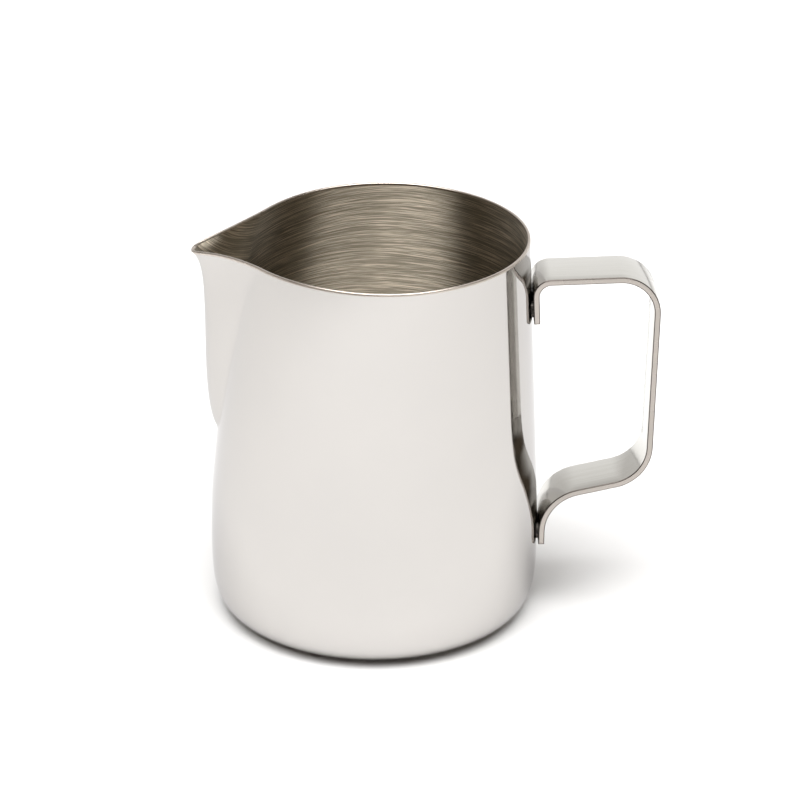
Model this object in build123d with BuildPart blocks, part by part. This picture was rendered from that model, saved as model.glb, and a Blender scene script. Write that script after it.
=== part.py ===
from build123d import *
import os
from math import atan2, cos, degrees, hypot, isclose, radians, sin, sqrt

# Milk frothing pitcher: a one-piece drawn steel cup with a pressed pouring spout, and a flat steel
# strap bent into a handle, whose two end tabs are spot-welded to the cup's wall.
# Millimetres. The origin is the middle of the flat base. +Z is up, +X points at the handle and
# -X at the spout. Everything is symmetric about the XZ plane.

# Cup
cup_height = 108.2
widest_radius = 45.2
widest_height = 22.0
base_radius = 32.6
rim_radius = 41.575
wall = 0.8

# The wall is pinched inwards beside the spout, from halfway up and most of all at the rim. The pinch
# fades out between two angles from the spout, in degrees, that grow from its start to the rim.
pinch_start_height = 34.0
pinch_depth_at_rim = 4.6
pinch_growth = 1.1
fade_start_low, fade_start_at_rim = 40, 110
fade_end_at_rim = 30

# Spout: its foot on the wall, its upright ridge, and the lip that curls outwards to the tip.
foot_height = 53.2
foot_radius = 42.7
ridge_height = 78.0
ridge_radius = 45.9
tip_height = 104.3
tip_radius = 49.3

# Crease between the spout's flank and the wall, as an angle from the spout in degrees. From a rounded
# bottom it opens steadily with height, and near the rim ever faster.
crease_rounding = 6.0
crease_foot_angle = 9.5
crease_opening_per_mm = 0.36
flare_start_height = 95.0
flare_opening = 0.0426

# Flank of the spout in plan. Low down it leaves the wall at the kink angle and bulges; it changes
# with height until it flows out of the wall and is hollow at the rim.
kink_angle = 26.0
kink_fading = 2.2
change_start_height, change_end_height = 60.0, 108.0
reach_low, reach_at_rim = 0.35, 0.80
nose_width = 5.2
nose_fading = 4.5

# Handle strap and its welds
strap_width = 16.0
strap_thickness = 1.65
strap_edge_radius = 0.25
strap_corner_radius = 1.0
handle_reach = 76.8
upper_tab_bottom = 85.3
upper_band_height = 98.3
upper_band_rise = 1.3
grip_lean = 1.1
lower_band_height = 39.15
lower_tab_top = 32.55
lower_tab_bottom = 19.3
bend_radii = [5.0, 10.7, 12.4, 11.5]
weld_gap = 0.05
weld_radius = 2.2
weld_spacing = 7.0
weld_depth = 0.6
upper_weld_height = 88.3
lower_weld_height = 21.9

# Outer profile, as (radius, height) control points of two cubic curves: the rounded heel from the
# flat base to the widest ring, and the tapering wall from there to the rim.
heel_reach = 44.9
heel_curve = [(base_radius, 0.0), (heel_reach, 0.0), (widest_radius, 4.5), (widest_radius, widest_height)]
wall_curve = [(widest_radius, widest_height), (widest_radius, 34.0), (42.9, 78.0), (rim_radius, cup_height)]

# The same heel one wall thickness further in.
inner_widest_radius = widest_radius - wall
inner_heel_curve = [
    (base_radius, wall),
    (heel_reach - wall, wall),
    (inner_widest_radius, 4.8),
    (inner_widest_radius, widest_height),
]

# The spout's front ridge, also as (radius, height).
foot_curve = [(foot_radius, foot_height), (45.0, 56.0), (ridge_radius, 61.0), (ridge_radius, ridge_height)]
lip_curve = [(ridge_radius, ridge_height), (ridge_radius, 95.0), (ridge_radius, 101.6), (tip_radius, tip_height)]

# The rim seen from the side, as (x, z): level round the back, drooping towards the spout's tip.
rim_droop = [(-8.0, cup_height), (-28.0, cup_height), (-43.0, 107.0), (-50.0, 104.0)]
beyond_rim = 60.0
above_rim = 120.0


def cubic(points, t):
    """The point at t on the cubic curve with these four control points."""
    weights = ((1 - t) ** 3, 3 * t * (1 - t) ** 2, 3 * t**2 * (1 - t), t**3)
    return tuple(sum(w * p[axis] for w, p in zip(weights, points)) for axis in (0, 1))


def solve(rising_function, target):
    """The t in 0..1 where a rising function reaches the target."""
    low, high = 0.0, 1.0
    for _ in range(40):
        middle = (low + high) / 2
        if rising_function(middle) < target:
            low = middle
        else:
            high = middle
    return (low + high) / 2


def radius_at(curve, height):
    """Radius of a (radius, height) curve at a height, going straight on past its upper end."""
    before_last, last = curve[2:]
    if height > last[1]:
        return last[0] + (last[0] - before_last[0]) / (last[1] - before_last[1]) * (height - last[1])
    return cubic(curve, solve(lambda t: cubic(curve, t)[1], height))[0]


def smooth_step(value):
    """0 below 0, 1 above 1, and a smooth ramp between."""
    value = min(max(value, 0.0), 1.0)
    return value * value * (3 - 2 * value)


def pinched_radius(angle, height):
    """Outer radius of the wall without its spout. The angle is from the spout, in degrees."""
    share = max(0.0, (height - pinch_start_height) / (cup_height - pinch_start_height))
    fade_start = fade_start_low + (fade_start_at_rim - fade_start_low) * share
    fade_end = fade_end_at_rim * share**2
    depth = pinch_depth_at_rim * share**pinch_growth
    return radius_at(wall_curve, height) - depth * smooth_step((fade_start - angle) / (fade_start - fade_end))


def crease_angle(height):
    """Angle from the spout of the crease between its flank and the wall: a U that opens upwards."""
    above_foot = height - foot_height
    rounding = sqrt(1 - (1 - min(above_foot / crease_rounding, 1.0)) ** 2)
    flare = flare_opening * max(0.0, height - flare_start_height) ** 2
    return (crease_foot_angle + crease_opening_per_mm * above_foot) * rounding + flare


def flank(height):
    """The spout's flank in plan, from the crease to the ridge, as control points of a cubic curve."""
    angle = crease_angle(height)
    crease_radius = pinched_radius(angle, height)
    crease = (-crease_radius * cos(radians(angle)), crease_radius * sin(radians(angle)))
    ridge = radius_at(lip_curve if height > ridge_height else foot_curve, height)
    length = hypot(ridge + crease[0], crease[1])
    share = (height - change_start_height) / (change_end_height - change_start_height)
    share = min(max(share, 0.0), 1.0)
    heading = radians(angle + kink_angle * (1 - share**kink_fading))
    reach = (reach_low + (reach_at_rim - reach_low) * share) * length
    nose = nose_width * length / (length + nose_fading)
    return [
        crease,
        (crease[0] - reach * sin(heading), crease[1] - reach * cos(heading)),
        (-ridge, nose),
        (-ridge, 0.0),
    ]


def outer_radius(angle, height):
    """Outer radius of the cup with its spout, at an angle from the spout in degrees."""
    angle = abs(angle)
    if height <= foot_height or angle >= crease_angle(height):
        return pinched_radius(angle, height)
    points = flank(height)
    t = solve(lambda t: -degrees(atan2(cubic(points, t)[1], -cubic(points, t)[0])), -angle)
    return hypot(*cubic(points, t))


def inner_radius(angle, height):
    """Radius of the inner face: one wall thickness in from the outer face, along its normal."""
    step = 0.05
    here = outer_radius(angle, height)
    growth_around = outer_radius(angle + step, height) - outer_radius(angle - step, height)
    growth_upwards = outer_radius(angle, height + step) - outer_radius(angle, height - step)
    slope_around = growth_around / (here * radians(2 * step))
    slope_upwards = growth_upwards / (2 * step)
    return here - wall * sqrt(1 + slope_around**2 + slope_upwards**2)


# Angles of a section's points from the spout, closer together near it. Every section has the same
# spline parameters, in step with the angle, so that the lofted surface stays light.
points_per_side = 24
half_angles = [180 * (k / points_per_side) ** 1.6 for k in range(points_per_side + 1)]
section_angles = [-angle for angle in reversed(half_angles)] + half_angles[1:-1]
spline_parameters = [(angle + 180) / 360 for angle in section_angles] + [1.0]

# The sections' heights, closer together at the spout's foot and lip. The last section is above the
# rim, which is cut later.
section_heights = [28, 34, 40, 46, 50, 52, 53.2, 54.2, 55.6, 57.4, 60, 64, 70, 77, 84, 91, 96, 100, 103, 106, 110]


def cup_sections(start_radius, radius_of):
    """Outlines of the cup from its widest ring up, for its outer or its inner face."""
    with BuildSketch(Plane.XY.offset(widest_height)) as ring:
        Circle(start_radius)
    sections = [ring.sketch]
    for height in section_heights:
        polar = [(radius_of(angle, height), radians(angle)) for angle in section_angles]
        with BuildSketch(Plane.XY.offset(height)) as section:
            with BuildLine():
                points = [(-r * cos(a), -r * sin(a)) for r, a in polar]
                add(Edge.make_spline(points, periodic=True, parameters=spline_parameters))
            make_face()
        sections.append(section.sketch)
    return sections


with BuildPart() as cup:
    # Outer body: a turned heel, and a lofted wall with the spout pressed out of it.
    with BuildSketch(Plane.XZ):
        with BuildLine():
            heel = Bezier(*heel_curve)
            Polyline(heel @ 1, (0, widest_height), (0, 0), heel @ 0)
        make_face()
    revolve(axis=Axis.Z)
    loft(cup_sections(widest_radius, outer_radius))

    # Inside, taken away.
    with BuildSketch(Plane.XZ):
        with BuildLine():
            inner_heel = Bezier(*inner_heel_curve)
            Polyline(inner_heel @ 1, (0, widest_height), (0, wall), inner_heel @ 0)
        make_face()
    revolve(axis=Axis.Z, mode=Mode.SUBTRACT)
    loft(cup_sections(inner_widest_radius, inner_radius), mode=Mode.SUBTRACT)

    # Rim
    with BuildSketch(Plane.XZ):
        with BuildLine():
            droop = Bezier(*rim_droop)
            Polyline(
                droop @ 1,
                (-beyond_rim, (droop @ 1).Y),
                (-beyond_rim, above_rim),
                (beyond_rim, above_rim),
                (beyond_rim, cup_height),
                droop @ 0,
            )
        make_face()
    extrude(amount=beyond_rim, both=True, mode=Mode.SUBTRACT)

cup.part.label = "cup"

# Face of the strap that is outside the loop, from the upper tab's end round to the lower tab's end.
# The upper tab follows the wall's taper, and the lower tab stands off the widest part of the wall.
strap_path = [
    (radius_at(wall_curve, upper_tab_bottom) + weld_gap, upper_tab_bottom),
    (radius_at(wall_curve, upper_band_height) + weld_gap, upper_band_height),
    (handle_reach, upper_band_height + upper_band_rise),
    (handle_reach - grip_lean, lower_band_height),
    (widest_radius + weld_gap + strap_thickness, lower_tab_top),
    (widest_radius + weld_gap + strap_thickness, lower_tab_bottom),
]

with BuildPart() as handle_strap:
    with BuildSketch(Plane.XZ):
        with BuildLine():
            FilletPolyline(*strap_path, radius=bend_radii)
            offset(amount=strap_thickness, side=Side.RIGHT)
        make_face()
    extrude(amount=strap_width / 2, both=True)

    # Rounded corners on both tabs, then broken edges all round.
    edges = handle_strap.edges()
    across_thickness = edges.filter_by(lambda edge: isclose(edge.length, strap_thickness, abs_tol=0.01))
    fillet(across_thickness, radius=strap_corner_radius)
    fillet(handle_strap.faces().filter_by(Axis.Y).edges(), radius=strap_edge_radius)

handle_strap.part.label = "handle_strap"


def weld_spots(tab_face, height):
    """Two spot welds side by side, which fill the gap between the wall and a tab."""
    tab_plane = Plane(origin=(tab_face, 0, height), x_dir=(0, 1, 0), z_dir=(1, 0, 0))
    with BuildPart() as welds:
        with BuildSketch(tab_plane):
            with GridLocations(weld_spacing, 0, 2, 1):
                Circle(weld_radius)
        extrude(amount=weld_depth, both=True)
        add(cup.part, mode=Mode.SUBTRACT)
        add(handle_strap.part, mode=Mode.SUBTRACT)
    return welds.part


upper_welds = weld_spots(radius_at(wall_curve, upper_weld_height) + weld_gap, upper_weld_height)
upper_welds.label = "upper_welds"

lower_welds = weld_spots(widest_radius + weld_gap, lower_weld_height)
lower_welds.label = "lower_welds"

os.makedirs("parts", exist_ok=True)
export_step(cup.part, "parts/cup.step")
export_step(handle_strap.part, "parts/handle_strap.step")
export_step(upper_welds, "parts/upper_welds.step")
export_step(lower_welds, "parts/lower_welds.step")
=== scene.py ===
"""Looks of the milk frothing pitcher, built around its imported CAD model.

Everything is in the CAD frame: +Z up, +X towards the handle, -X towards the spout, origin in the
middle of the base. Shapes are worked out in millimetres and made in metres.
"""

import bpy
import math
import numpy as np
from mathutils import Matrix, Vector


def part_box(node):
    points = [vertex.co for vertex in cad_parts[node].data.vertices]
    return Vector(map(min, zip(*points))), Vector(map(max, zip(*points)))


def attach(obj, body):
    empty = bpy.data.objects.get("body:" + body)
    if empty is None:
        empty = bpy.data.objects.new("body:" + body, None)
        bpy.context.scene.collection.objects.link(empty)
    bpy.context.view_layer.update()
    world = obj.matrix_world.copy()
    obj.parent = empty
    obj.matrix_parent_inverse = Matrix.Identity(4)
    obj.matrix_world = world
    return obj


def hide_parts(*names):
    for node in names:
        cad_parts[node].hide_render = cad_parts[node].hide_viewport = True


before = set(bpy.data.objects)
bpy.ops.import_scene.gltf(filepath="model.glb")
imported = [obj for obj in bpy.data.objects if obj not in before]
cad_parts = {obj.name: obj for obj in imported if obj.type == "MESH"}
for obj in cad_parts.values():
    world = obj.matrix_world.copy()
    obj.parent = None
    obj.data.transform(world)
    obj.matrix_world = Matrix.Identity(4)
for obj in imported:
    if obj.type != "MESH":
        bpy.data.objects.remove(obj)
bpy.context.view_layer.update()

MM = 0.001

# ---------------------------------------------------------------- sizes, in millimetres
cup_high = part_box("cup")[1] / MM
strap_low, strap_high = (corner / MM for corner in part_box("handle_strap"))

CUP_HEIGHT = cup_high.z
WIDEST_RADIUS = cup_high.y
WIDEST_HEIGHT = 22.0
BASE_RADIUS = 32.6
RIM_RADIUS = 41.575
WALL = 0.8
RIM_EDGE = 0.3
HEEL_REACH = 44.9

# The wall is pinched inwards beside the spout. Angles are in degrees from the spout.
PINCH_START = 34.0
PINCH_AT_RIM = 4.6
PINCH_GROWTH = 1.1
FADE_START_LOW, FADE_START_AT_RIM = 40.0, 110.0
FADE_END_AT_RIM = 30.0

# The crease between the spout's flank and the wall, as an angle from the spout.
CREASE_ROUNDING = 6.0
CREASE_FOOT_ANGLE = 9.5
CREASE_OPENING_PER_MM = 0.36
FLARE_START_HEIGHT = 95.0
FLARE_OPENING = 0.0426

# The flank in plan: it leaves the wall at the kink angle low down, and is hollow at the rim.
KINK_ANGLE = 26.0
KINK_FADING = 2.2
CHANGE_START_HEIGHT, CHANGE_END_HEIGHT = 60.0, 108.0
REACH_LOW, REACH_AT_RIM = 0.35, 0.80
NOSE_WIDTH = 5.2
NOSE_FADING = 4.5

# How widely the crease is rounded low down and at the rim, and how fast the flank dives into the wall.
CREASE_BLEND_LOW, CREASE_BLEND_AT_RIM = 0.2, 0.03
DIVE_SLOPE, DIVE_CURVE = 0.02, 0.02

# The spout's foot, its upright ridge and its tip.
FOOT_HEIGHT = 53.2
FOOT_RADIUS = 42.7
RIDGE_HEIGHT = 78.0
RIDGE_RADIUS = 45.9
TIP_HEIGHT = 104.3
TIP_RADIUS = 49.3

# The strap: its section, the heights of its tabs and bands, and how far out its grip reaches.
STRAP_WIDTH = strap_high.y - strap_low.y
STRAP_THICKNESS = 1.65
STRAP_EDGE = 0.25
STRAP_CORNER = 1.0
UPPER_TAB_BOTTOM = 85.3
UPPER_BAND_HEIGHT = 98.3
UPPER_BAND_RISE = 1.3
HANDLE_REACH = 76.8
GRIP_LEAN = 1.1
LOWER_BAND_HEIGHT = 39.15
LOWER_TAB_TOP = 32.55
WELD_GAP = 0.05

# Outer radius of each bend of the strap, from the upper tab to the lower one.
BEND_RADII = [5.0, 10.7, 12.4, 11.5]

# Radiance of the dark side of the studio and of the white sweep, with white at 1.
DARK_ROOM = (0.105, 0.08, 0.055)
BRIGHT_SWEEP = (1.15, 1.14, 1.13)

# How bright the sweep is on the left, as a share of the rest, and how much light the floor gives back.
LEFT_DIMMING = 0.6
FLOOR_ALBEDO = 0.64

# Control points of cubic curves, as (radius, height), and for the rim's droop as (x, height).
HEEL_CURVE = [(BASE_RADIUS, 0.0), (HEEL_REACH, 0.0), (WIDEST_RADIUS, 4.5), (WIDEST_RADIUS, WIDEST_HEIGHT)]
WALL_CURVE = [(WIDEST_RADIUS, WIDEST_HEIGHT), (WIDEST_RADIUS, 34.0), (42.9, 78.0), (RIM_RADIUS, CUP_HEIGHT)]
FOOT_CURVE = [(FOOT_RADIUS, FOOT_HEIGHT), (45.0, 56.0), (RIDGE_RADIUS, 61.0), (RIDGE_RADIUS, RIDGE_HEIGHT)]
LIP_CURVE = [
    (RIDGE_RADIUS, RIDGE_HEIGHT),
    (RIDGE_RADIUS, 95.0),
    (RIDGE_RADIUS, 101.6),
    (TIP_RADIUS, TIP_HEIGHT),
]
RIM_DROOP = [(-8.0, CUP_HEIGHT), (-28.0, CUP_HEIGHT), (-43.0, 107.0), (-50.0, 104.0)]


# ---------------------------------------------------------------- curves
def cubic(points, t):
    """Points at t on the cubic curve with these four control points; t may be an array."""
    t = np.asarray(t, float)[..., None]
    a, b, c, d = (np.array(p, float) for p in points)
    return (1 - t) ** 3 * a + 3 * t * (1 - t) ** 2 * b + 3 * t**2 * (1 - t) * c + t**3 * d


CURVE_STEPS = np.linspace(0, 1, 401)


def radius_at(curve, height):
    """Radius of a (radius, height) curve at these heights, going straight on past its upper end."""
    along = cubic(curve, CURVE_STEPS)
    (r0, h0), (r1, h1) = curve[2:]
    past = np.maximum(np.asarray(height, float) - h1, 0)
    return np.interp(height, along[:, 1], along[:, 0]) + past * (r1 - r0) / (h1 - h0)


def smooth_step(value):
    value = np.clip(value, 0, 1)
    return value * value * (3 - 2 * value)


# ---------------------------------------------------------------- cup
def pinched_radius(angle, height):
    """Outer radius of the wall without its spout. The angle is from the spout, in degrees."""
    share = max(0.0, (height - PINCH_START) / (CUP_HEIGHT - PINCH_START))
    fade_start = FADE_START_LOW + (FADE_START_AT_RIM - FADE_START_LOW) * share
    fade_end = FADE_END_AT_RIM * share**2
    depth = PINCH_AT_RIM * share**PINCH_GROWTH
    pinched = smooth_step((fade_start - angle) / (fade_start - fade_end))
    return radius_at(WALL_CURVE, height) - depth * pinched


def crease_angle(height):
    """Angle from the spout of the crease between its flank and the wall: a U that opens upwards."""
    above_foot = height - FOOT_HEIGHT
    rounding = math.sqrt(1 - (1 - min(above_foot / CREASE_ROUNDING, 1.0)) ** 2)
    flare = FLARE_OPENING * max(0.0, height - FLARE_START_HEIGHT) ** 2
    return (CREASE_FOOT_ANGLE + CREASE_OPENING_PER_MM * above_foot) * rounding + flare


def outer_radii(angles, height):
    """Outer radius of the cup with its spout, at these angles from the spout in degrees."""
    wall = pinched_radius(angles, height)
    if height <= FOOT_HEIGHT:
        return wall
    crease_turn = crease_angle(height)
    crease_radius = float(pinched_radius(crease_turn, height))
    turn = math.radians(crease_turn)
    crease = crease_radius * np.array([-math.cos(turn), math.sin(turn)])
    ridge = float(radius_at(LIP_CURVE if height > RIDGE_HEIGHT else FOOT_CURVE, height))
    length = math.hypot(ridge + crease[0], crease[1])
    share = (height - CHANGE_START_HEIGHT) / (CHANGE_END_HEIGHT - CHANGE_START_HEIGHT)
    share = min(max(share, 0.0), 1.0)
    heading = math.radians(crease_turn + KINK_ANGLE * (1 - share**KINK_FADING))
    onward = np.array([-math.sin(heading), -math.cos(heading)])
    reach = (REACH_LOW + (REACH_AT_RIM - REACH_LOW) * share) * length
    nose = NOSE_WIDTH * length / (length + NOSE_FADING)
    flank = cubic([crease, crease + reach * onward, (-ridge, nose), (-ridge, 0.0)], CURVE_STEPS)
    turns = np.degrees(np.arctan2(flank[:, 1], -flank[:, 0]))[::-1]
    above_wall = np.hypot(flank[:, 0], flank[:, 1])[::-1] - pinched_radius(turns, height)
    # Behind the crease the flank goes on into the wall, at the slope it had, and then more steeply.
    few = 9
    slope = above_wall[-few] / (turns[-1] - turns[-few])
    behind = np.maximum(angles - crease_turn, 0)
    dive = -(abs(slope) + DIVE_SLOPE) * behind - DIVE_CURVE * behind**2
    excess = np.where(angles < crease_turn, np.interp(angles, turns, above_wall), dive)
    # The crease is rounded where the two surfaces meet.
    blend = CREASE_BLEND_LOW * (1 - share) + CREASE_BLEND_AT_RIM
    return wall + 0.5 * (excess + np.sqrt(excess**2 + blend**2))


def rim_heights(x):
    """Height of the rim at these x."""
    along = cubic(RIM_DROOP, CURVE_STEPS)[::-1]
    return np.interp(x, along[:, 0], along[:, 1])


# The cup's mesh has columns of points, at angles from the spout that are closer together near it.
COLUMNS_PER_SIDE = 180
COLUMN_CROWDING = 1.6
half = 180 * (np.arange(COLUMNS_PER_SIDE + 1) / COLUMNS_PER_SIDE) ** COLUMN_CROWDING
COLUMN_ANGLES = np.concatenate([-half[::-1], half[1:-1]])
COLUMNS = len(COLUMN_ANGLES)

BASE_RING_RADII = (2.0, 9.0, 16.0, 23.0, 29.0)
HEEL_RINGS = 21
RIM_POINTS = 6

# The cup's material slots.
OUTSIDE, RIM, INSIDE, BASE = 0, 1, 2, 3


def ring(radii, heights):
    """Points of one closed ring of the cup, one for each column."""
    turn = np.radians(COLUMN_ANGLES)
    return np.stack([-radii * np.cos(turn), radii * np.sin(turn), heights * np.ones(COLUMNS)], -1)


def wall_rings():
    """Rings of the outer face from the widest height to the rim."""
    above_rim, step = 2.2, 0.2
    levels = np.arange(WIDEST_HEIGHT, CUP_HEIGHT + above_rim, step)
    grid = np.array([outer_radii(np.abs(COLUMN_ANGLES), level) for level in levels])
    rim_height = np.empty(COLUMNS)
    for column in range(COLUMNS):
        x = -grid[:, column] * math.cos(math.radians(COLUMN_ANGLES[column]))
        above = levels - rim_heights(x)
        rim_height[column] = np.interp(0.0, above, levels)
    # Level rings, closer together at the spout's foot, and then rings that come to follow the rim.
    below_foot, above_foot, last_level = 50.0, 62.0, 96.0
    knots = [(WIDEST_HEIGHT, below_foot, 12), (below_foot, above_foot, 24), (above_foot, last_level, 22)]
    heights = []
    for low, high, count in knots:
        heights += [np.full(COLUMNS, h) for h in np.linspace(low, high, count, False)]
    heights += [last_level + (rim_height - last_level) * share for share in np.linspace(0, 1, 18)]
    rings = []
    for height in heights:
        radii = [np.interp(h, levels, grid[:, column]) for column, h in enumerate(height)]
        rings.append(ring(np.array(radii), height))
    return rings


def cup_rings():
    """Rings of the outer face from the middle of the base to the rim."""
    base = [ring(radius, 0.0) for radius in BASE_RING_RADII]
    along_heel = cubic(HEEL_CURVE, np.linspace(0, 1, HEEL_RINGS + 1)[:-1])
    heel = [ring(radius, height) for radius, height in along_heel]
    return np.array(base + heel + wall_rings())


def directions(rings):
    """Unit outward normals, and unit directions up the wall, of the outer face."""
    along = np.gradient(rings, axis=0)
    around = np.roll(rings, -1, axis=1) - np.roll(rings, 1, axis=1)
    normals = np.cross(along, around)
    normals /= np.linalg.norm(normals, axis=2, keepdims=True)
    up = along / np.linalg.norm(along, axis=2, keepdims=True)
    middle = len(rings) // 2
    outward = np.sign(np.sum(normals[middle] * rings[middle]))
    return normals * outward, up


def make_piece(name, vertices, faces, slots):
    """A smooth object with these faces, each with its material slot."""
    mesh = bpy.data.meshes.new(name)
    mesh.from_pydata(vertices, [], faces)
    mesh.validate()
    mesh.polygons.foreach_set("material_index", slots)
    mesh.polygons.foreach_set("use_smooth", [True] * len(slots))
    mesh.update()
    piece = bpy.data.objects.new(name, mesh)
    bpy.context.scene.collection.objects.link(piece)
    return piece


def make_cup():
    """One closed shell: the outer face, the rounded edge of the rim and the inner face."""
    outer = cup_rings()
    normals, up = directions(outer)
    inner = outer - WALL * normals
    top, top_normal, top_up = outer[-1], normals[-1], up[-1]
    top_up = top_up - np.sum(top_up * top_normal, 1)[:, None] * top_normal
    top_up /= np.linalg.norm(top_up, axis=1)[:, None]
    lip = []
    for corner, start, end in ((RIM_EDGE, 0, 90), (WALL - RIM_EDGE, 90, 180)):
        for turn in np.radians(np.linspace(start, end, RIM_POINTS)):
            centre = top - RIM_EDGE * top_up - corner * top_normal
            lip.append(centre + RIM_EDGE * (math.cos(turn) * top_normal + math.sin(turn) * top_up))
    rings = np.concatenate([outer[:-1], np.array(lip), inner[-2::-1]])
    count = len(rings)

    vertices = [tuple(p) for p in (rings.reshape(-1, 3) * MM)]
    bottom = len(vertices)
    vertices.append((0.0, 0.0, 0.0))
    vertices.append((0.0, 0.0, WALL * MM))
    faces, slots = [], []
    outside, edge = len(outer) - 2, len(outer) - 2 + len(lip)
    for row in range(count - 1):
        slot = OUTSIDE if row < outside else RIM if row <= edge else INSIDE
        if row < len(BASE_RING_RADII):
            slot = BASE
        for column in range(COLUMNS):
            after = (column + 1) % COLUMNS
            low, high = row * COLUMNS, (row + 1) * COLUMNS
            faces.append((low + column, low + after, high + after, high + column))
            slots.append(slot)
    for column in range(COLUMNS):
        after = (column + 1) % COLUMNS
        faces.append((bottom, after, column))
        slots.append(BASE)
        faces.append((bottom + 1, (count - 1) * COLUMNS + column, (count - 1) * COLUMNS + after))
        slots.append(INSIDE)

    return make_piece("cup_shell", vertices, faces, slots)


# ---------------------------------------------------------------- handle strap
def strap_corners():
    """Corners, as (x, z), of the face outside the loop."""
    lower_tab_face = WIDEST_RADIUS + WELD_GAP + STRAP_THICKNESS
    return [
        (float(radius_at(WALL_CURVE, UPPER_TAB_BOTTOM)) + WELD_GAP, UPPER_TAB_BOTTOM),
        (float(radius_at(WALL_CURVE, UPPER_BAND_HEIGHT)) + WELD_GAP, UPPER_BAND_HEIGHT),
        (HANDLE_REACH, UPPER_BAND_HEIGHT + UPPER_BAND_RISE),
        (HANDLE_REACH - GRIP_LEAN, LOWER_BAND_HEIGHT),
        (lower_tab_face, LOWER_TAB_TOP),
        (lower_tab_face, strap_low.z),
    ]


def rounded_path(corners, radii, step):
    """Points along straight runs joined by arcs, and the unit normal to the right of the path at each."""
    corners = [np.array(c, float) for c in corners]
    points, normals = [corners[0]], []
    for before, corner, after, radius in zip(corners, corners[1:], corners[2:], radii):
        back = (before - corner) / np.linalg.norm(before - corner)
        ahead = (after - corner) / np.linalg.norm(after - corner)
        opening = math.acos(float(back @ ahead))
        middle = (back + ahead) / np.linalg.norm(back + ahead)
        centre = corner + middle * radius / math.sin(opening / 2)
        start = corner + back * radius / math.tan(opening / 2) - centre
        end = corner + ahead * radius / math.tan(opening / 2) - centre
        turn = math.atan2(start[0] * end[1] - start[1] * end[0], float(start @ end))
        count = max(6, math.ceil(abs(turn) * radius / step))
        for angle in np.linspace(0, turn, count + 1):
            c, s = math.cos(angle), math.sin(angle)
            spoke = np.array([c * start[0] - s * start[1], s * start[0] + c * start[1]])
            points.append(centre + spoke)
            normals.append(spoke / radius * math.copysign(1, turn))
    points.append(corners[-1])
    return np.array(points), np.array([normals[0], *normals, normals[-1]])


def quarter(distance, radius):
    """How far a rounded corner has drawn in at this distance from the end."""
    inside = min(max(distance, 0.0), radius)
    return radius - math.sqrt(radius**2 - (radius - inside) ** 2)


def strap_stations(lengths):
    """Distances along the strap of its cross-sections, close together at its rounded ends."""
    total = lengths[-1]
    clear_of_end, spacing = 1.2, 2.5
    near_end = [0.0, 0.03, 0.08, 0.15, 0.25, 0.4, 0.6, 0.8, STRAP_CORNER]
    stations = near_end + [total - s for s in near_end] + list(lengths[1:-1])
    for low, high in zip(lengths, lengths[1:]):
        between = np.linspace(low, high, math.ceil((high - low) / spacing) + 1)[1:-1]
        stations += [s for s in between if clear_of_end < s < total - clear_of_end]
    return sorted(stations)


BEND_STEP = 0.8
POINTS_PER_EDGE = 5

# The strap's material slots. The rounded edges get a painted dark line, standing in for a dark reflection.
BROAD, ROUNDED_PAINTED_DARK, NARROW = 0, 1, 2


def strap_slot(k):
    """Material slot of the face between points k and k + 1 of a cross-section: the rounded edges get the
    painted dark line.
    """
    if (k + 1) % POINTS_PER_EDGE:
        return ROUNDED_PAINTED_DARK
    return BROAD if (k // POINTS_PER_EDGE) % 2 == 0 else NARROW


def make_strap():
    """One closed solid: rounded cross-sections along the bent path, drawn in at both ends."""
    points, normals = rounded_path(strap_corners(), BEND_RADII, BEND_STEP)
    lengths = np.concatenate([[0], np.cumsum(np.linalg.norm(np.diff(points, axis=0), axis=1))])
    total = lengths[-1]
    stations = strap_stations(lengths)
    half_width, half_thick = STRAP_WIDTH / 2, STRAP_THICKNESS / 2

    # Cross-section of the strap: a rectangle with rounded edges, as the side and face that each point
    # is on, and its share of the edge radius across and through.
    section = []
    for side, face in ((1, 1), (-1, 1), (-1, -1), (1, -1)):
        start, end = (0, 90) if side == face else (90, 0)
        for turn in np.radians(np.linspace(start, end, POINTS_PER_EDGE)):
            section.append((side, face, math.cos(turn), math.sin(turn)))

    vertices, faces = [], []
    for station in stations:
        x, z = (np.interp(station, lengths, points[:, axis]) for axis in (0, 1))
        inward = [np.interp(station, lengths, normals[:, axis]) for axis in (0, 1)]
        end = min(station, total - station)
        width = half_width - quarter(end, STRAP_CORNER)
        thick = half_thick - quarter(end, STRAP_EDGE)
        edge = min(STRAP_EDGE, thick)
        for side, face, c, s in section:
            across = side * (width - STRAP_EDGE + STRAP_EDGE * c)
            through = half_thick + face * (thick - edge + edge * s)
            vertices.append(((x + inward[0] * through) * MM, across * MM, (z + inward[1] * through) * MM))
    around = len(section)
    slots = []
    for row in range(len(stations) - 1):
        low, high = row * around, (row + 1) * around
        for k in range(around):
            after = (k + 1) % around
            faces.append((low + k, low + after, high + after, high + k))
            slots.append(strap_slot(k))
    faces.append(tuple(range(around)))
    faces.append(tuple(range(len(vertices) - 1, len(vertices) - around - 1, -1)))
    slots += [NARROW, NARROW]

    return make_piece("strap", vertices, faces, slots)


# ---------------------------------------------------------------- materials
def steel(name, colour, roughness, anisotropic=0.0):
    """A metallic material of this colour and roughness."""
    material = bpy.data.materials.new(name)
    material.use_nodes = True
    shader = material.node_tree.nodes["Principled BSDF"]
    shader.inputs["Base Color"].default_value = (*colour, 1)
    shader.inputs["Metallic"].default_value = 1.0
    shader.inputs["Roughness"].default_value = roughness
    shader.inputs["Anisotropic"].default_value = anisotropic
    return material


def node(material, kind, **settings):
    made = material.node_tree.nodes.new(kind)
    for name, value in settings.items():
        setattr(made, name, value)
    return made


def link(material, source, target):
    material.node_tree.links.new(source, target)


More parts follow.
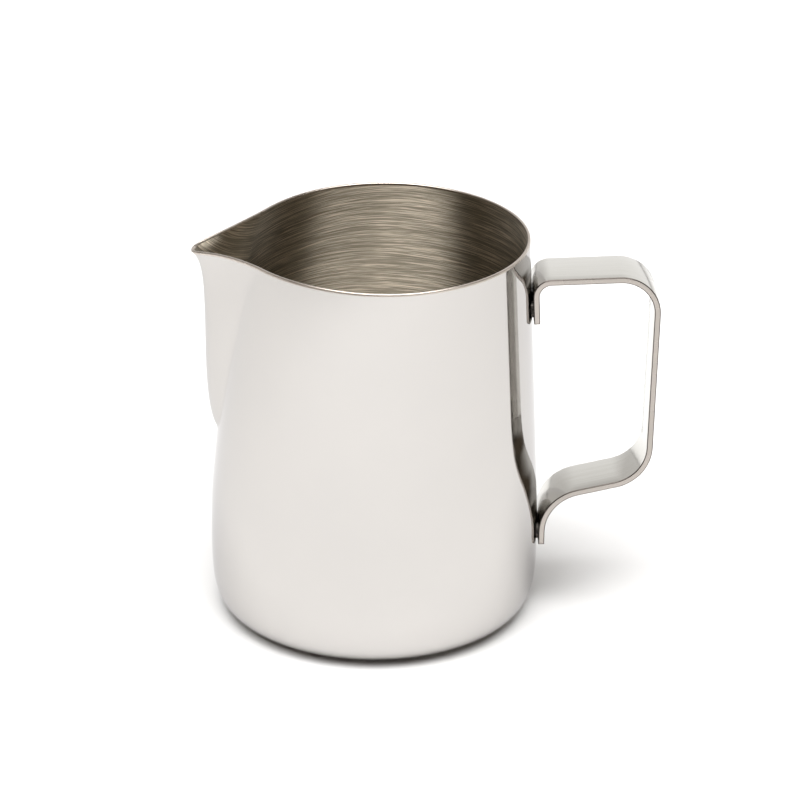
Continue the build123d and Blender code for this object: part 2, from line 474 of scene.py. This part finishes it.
def math_node(material, operation, first, second):
    """A maths node working on two values, each either a socket or a number."""
    made = node(material, "ShaderNodeMath", operation=operation)
    for socket, value in zip(made.inputs, (first, second)):
        if isinstance(value, (int, float)):
            socket.default_value = value
        else:
            link(material, value, socket)
    return made.outputs["Value"]


def turned_coordinates(material, along, across, slant=0.0):
    """Coordinates for marks that run round the cup: stretched along them, fine across them.

    Across goes up the wall and inwards over the base, so the marks there are rings.
    """
    place = node(material, "ShaderNodeTexCoord").outputs["Object"]
    parts = node(material, "ShaderNodeSeparateXYZ")
    link(material, place, parts.inputs["Vector"])
    x, y, z = (parts.outputs[axis] for axis in "XYZ")
    flat = node(material, "ShaderNodeVectorMath", operation="MULTIPLY")
    link(material, place, flat.inputs[0])
    flat.inputs[1].default_value = (1, 1, 0)
    radius = node(material, "ShaderNodeVectorMath", operation="LENGTH")
    link(material, flat.outputs["Vector"], radius.inputs[0])
    profile = math_node(material, "SUBTRACT", z, radius.outputs["Value"])
    if slant:
        profile = math_node(material, "ADD", profile, math_node(material, "MULTIPLY", x, slant))
    joined = node(material, "ShaderNodeCombineXYZ")
    link(material, math_node(material, "MULTIPLY", x, along), joined.inputs["X"])
    link(material, math_node(material, "MULTIPLY", y, along), joined.inputs["Y"])
    link(material, math_node(material, "MULTIPLY", profile, across), joined.inputs["Z"])
    return joined.outputs["Vector"]


def noise(material, vector, scale=1.0, detail=3.0, roughness=0.6):
    made = node(material, "ShaderNodeTexNoise")
    made.inputs["Scale"].default_value = scale
    made.inputs["Detail"].default_value = detail
    made.inputs["Roughness"].default_value = roughness
    link(material, vector, made.inputs["Vector"])
    return made.outputs["Fac"]


def ranged(material, value, low, high, new_low, new_high):
    made = node(material, "ShaderNodeMapRange")
    for name, number in (("From Min", low), ("From Max", high), ("To Min", new_low), ("To Max", new_high)):
        made.inputs[name].default_value = number
    link(material, value, made.inputs["Value"])
    return made.outputs["Result"]


def tinted(material, value, dark, light):
    ramp = node(material, "ShaderNodeValToRGB")
    ramp.color_ramp.elements[0].color = (*dark, 1)
    ramp.color_ramp.elements[1].color = (*light, 1)
    link(material, value, ramp.inputs["Fac"])
    return ramp.outputs["Color"]


def shader_of(material):
    return material.node_tree.nodes["Principled BSDF"]


def make_polished():
    """Mirror polish outside, with a faint unevenness."""
    material = steel("polished_outside", (0.53, 0.512, 0.494), 0.06)
    place = node(material, "ShaderNodeTexCoord").outputs["Object"]
    uneven = noise(material, place, scale=60.0, detail=2.0)
    link(material, ranged(material, uneven, 0.3, 0.7, 0.05, 0.08), shader_of(material).inputs["Roughness"])
    colour = tinted(material, uneven, (0.52, 0.504, 0.488), (0.54, 0.521, 0.502))
    link(material, colour, shader_of(material).inputs["Base Color"])
    shader_of(material).inputs["Specular Tint"].default_value = (0.82, 0.82, 0.83, 1)
    return material


def make_brushed():
    """The inside: brushed round and round in strokes at small slants, so light spreads up and down. Its
    colour holds painted sheen and shade.
    """
    material = steel("brushed_inside", (0.55, 0.50, 0.43), 0.45, 1.0)
    shader = shader_of(material)
    tangent = node(material, "ShaderNodeTangent", direction_type="RADIAL", axis="Z")
    link(material, tangent.outputs["Tangent"], shader.inputs["Tangent"])
    shader.inputs["Anisotropic Rotation"].default_value = 0.25
    rising = turned_coordinates(material, along=60.0, across=5200.0, slant=0.03)
    fine = noise(material, rising, detail=2.0)
    falling = turned_coordinates(material, along=70.0, across=3900.0, slant=-0.04)
    slanted = noise(material, falling, detail=2.0)
    level_bands = turned_coordinates(material, along=14.0, across=1000.0, slant=0.01)
    broad = noise(material, level_bands, detail=4.0)
    fine_strokes = ranged(material, fine, 0.5, 0.68, 0.0, 1.0)
    slanted_strokes = ranged(material, slanted, 0.54, 0.7, 0.0, 1.0)
    strokes = math_node(material, "MAXIMUM", fine_strokes, slanted_strokes)
    stroke_part = math_node(material, "MULTIPLY", strokes, 0.65)
    broad_part = math_node(material, "MULTIPLY", broad, 0.35)
    brush_marks_and_painted_sheen = math_node(material, "ADD", stroke_part, broad_part)
    level = ranged(material, brush_marks_and_painted_sheen, 0.12, 0.75, 0.0, 1.0)
    # Painted light and shade: the dark end is painted olive shade, the light end a painted sheen along the
    # strokes, over the brush marks' own tone.
    colour = tinted(material, level, (0.25, 0.225, 0.175), (0.76, 0.67, 0.55))
    link(material, colour, shader.inputs["Base Color"])
    bump = node(material, "ShaderNodeBump")
    bump.inputs["Strength"].default_value = 0.3
    bump.inputs["Distance"].default_value = 0.00002
    link(material, brush_marks_and_painted_sheen, bump.inputs["Height"])
    link(material, bump.outputs["Normal"], shader.inputs["Normal"])
    return material


def finish(material, marks, dark, light, smooth, rough):
    """Varies a metal's colour and roughness with the brightness of these marks."""
    shader = shader_of(material)
    level = ranged(material, marks, 0.3, 0.7, 0.0, 1.0)
    link(material, tinted(material, level, dark, light), shader.inputs["Base Color"])
    link(material, ranged(material, marks, 0.3, 0.7, rough, smooth), shader.inputs["Roughness"])
    return material


def lengthwise(material):
    """Marks that run along the strap, fine across its width."""
    stretch = node(material, "ShaderNodeVectorMath", operation="MULTIPLY")
    link(material, node(material, "ShaderNodeTexCoord").outputs["Object"], stretch.inputs[0])
    stretch.inputs[1].default_value = (25, 1500, 25)
    return noise(material, stretch.outputs["Vector"], detail=3.0)


def make_turned(name, dark, light, smooth, rough):
    """Marks that run round the cup."""
    material = steel(name, light, rough)
    marks = noise(material, turned_coordinates(material, 30.0, 1500.0), detail=2.0)
    return finish(material, marks, dark, light, smooth, rough)


def make_strap_steel(name, dark, light, smooth, rough):
    material = steel(name, light, rough)
    return finish(material, lengthwise(material), dark, light, smooth, rough)


def make_weld_steel():
    """Dull, mottled metal, darkened by the heat of welding."""
    material = steel("weld_steel", (0.12, 0.11, 0.10), 0.5)
    place = node(material, "ShaderNodeTexCoord").outputs["Object"]
    mottling = noise(material, place, scale=900.0)
    return finish(material, mottling, (0.05, 0.05, 0.055), (0.16, 0.14, 0.12), 0.4, 0.6)


polished = make_polished()
rim_steel = make_turned("rim_edge", (0.44, 0.39, 0.34), (0.56, 0.51, 0.46), 0.26, 0.34)
brushed = make_brushed()
underside = make_turned("turned_base", (0.50, 0.485, 0.465), (0.62, 0.60, 0.58), 0.2, 0.34)
strap_steel = make_strap_steel("strap_steel", (0.585, 0.575, 0.54), (0.61, 0.60, 0.57), 0.10, 0.18)
# Near-black steel for the rounded edges: a painted dark line standing in for the reflection of the studio's
# dark front.
painted_dark_strap_edge = make_strap_steel("painted_dark_strap_edge", (0.08, 0.07, 0.062), (0.12, 0.105, 0.095), 0.25, 0.35)
strap_side = make_strap_steel("strap_side", (0.38, 0.35, 0.32), (0.42, 0.385, 0.355), 0.22, 0.32)
weld_steel = make_weld_steel()

cup = make_cup()
for material in (polished, rim_steel, brushed, underside):
    cup.data.materials.append(material)
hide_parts("cup")
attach(cup, "root")

strap = make_strap()
for material in (strap_steel, painted_dark_strap_edge, strap_side):
    strap.data.materials.append(material)
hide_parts("handle_strap")
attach(strap, "root")

for name in ("upper_welds", "lower_welds"):
    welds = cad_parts[name].data
    welds.materials.clear()
    welds.materials.append(weld_steel)


# ---------------------------------------------------------------- floor, light and camera
def make_floor():
    mesh = bpy.data.meshes.new("floor")
    reach = 3.0
    corners = [(-reach, -reach, 0), (reach, -reach, 0), (reach, reach, 0), (-reach, reach, 0)]
    mesh.from_pydata(corners, [], [(0, 1, 2, 3)])
    floor = bpy.data.objects.new("floor", mesh)
    bpy.context.scene.collection.objects.link(floor)
    material = bpy.data.materials.new("pale_floor")
    material.use_nodes = True
    shader = material.node_tree.nodes["Principled BSDF"]
    shader.inputs["Base Color"].default_value = (FLOOR_ALBEDO, FLOOR_ALBEDO, FLOOR_ALBEDO, 1)
    shader.inputs["Roughness"].default_value = 0.9
    shader.inputs["Specular IOR Level"].default_value = 0.1
    mesh.materials.append(material)


def make_world():
    """A white sweep behind and low down, dimmer to the left, and a dark studio in front and overhead."""
    world = bpy.data.worlds.new("studio")
    bpy.context.scene.world = world
    world.use_nodes = True
    parts = node(world, "ShaderNodeSeparateXYZ")
    link(world, node(world, "ShaderNodeTexCoord").outputs["Generated"], parts.inputs["Vector"])
    behind = ranged(world, parts.outputs["Y"], -0.05, 0.75, 0.0, 1.0)
    low = ranged(world, parts.outputs["Z"], 0.75, 0.5, 0.0, 1.0)
    sideways = ranged(world, parts.outputs["X"], -0.35, 0.0, LEFT_DIMMING, 1.0)
    sweep = math_node(world, "MULTIPLY", math_node(world, "MULTIPLY", behind, low), sideways)
    background = world.node_tree.nodes["Background"]
    link(world, tinted(world, sweep, DARK_ROOM, BRIGHT_SWEEP), background.inputs["Color"])


def soft_light(name, turn, elevation, distance, width, height, radiance):
    """A softbox facing the pitcher. Turn is to the right of the camera's side, in degrees."""
    data = bpy.data.lights.new(name, "AREA")
    data.shape = "RECTANGLE"
    data.size, data.size_y = width, height
    data.energy = radiance * math.pi * width * height
    turn, elevation = math.radians(turn), math.radians(elevation)
    level = math.cos(elevation)
    outward = Vector((math.sin(turn) * level, -math.cos(turn) * level, math.sin(elevation)))
    facing = outward.to_track_quat("Z", "Y").to_matrix().to_4x4()
    light = bpy.data.objects.new(name, data)
    light.matrix_world = Matrix.Translation(outward * distance) @ facing
    bpy.context.scene.collection.objects.link(light)


def make_lights():
    soft_light("key", turn=-36, elevation=60, distance=1.8, width=1.6, height=1.2, radiance=4.9)
    soft_light("fill", turn=42, elevation=62, distance=1.9, width=1.3, height=1.1, radiance=4.2)
    soft_light("overhead", turn=0, elevation=84, distance=1.7, width=1.8, height=1.1, radiance=5.8)


def make_camera():
    """A long lens to the front and above, rolled very slightly."""
    turn, elevation, roll = math.radians(1.197), math.radians(24.388), math.radians(0.332)
    distance, aim_height = 0.899, 0.050
    aim_right, aim_up = 0.006943, 0.009135
    data = bpy.data.cameras.new("camera")
    data.sensor_width = 36.0
    data.lens = 147.33
    data.clip_start = 0.05
    spin = Matrix.Rotation(-turn, 3, "Z")
    ahead = spin @ Vector((0, math.cos(elevation), -math.sin(elevation)))
    right = spin @ Vector((1, 0, 0))
    up = spin @ Vector((0, math.sin(elevation), math.cos(elevation)))
    place = Vector((0, 0, aim_height)) - distance * ahead + aim_right * right + aim_up * up
    rolled_right = math.cos(roll) * right + math.sin(roll) * up
    rolled_up = math.cos(roll) * up - math.sin(roll) * right
    facing = Matrix((rolled_right, rolled_up, -ahead)).transposed().to_4x4()
    camera = bpy.data.objects.new("camera", data)
    camera.matrix_world = Matrix.Translation(place) @ facing
    bpy.context.scene.collection.objects.link(camera)
    bpy.context.scene.camera = camera


make_floor()
make_world()
make_lights()
make_camera()
bpy.context.scene.cycles.glossy_bounces = 8
bpy.context.scene.view_settings.view_transform = "Standard"
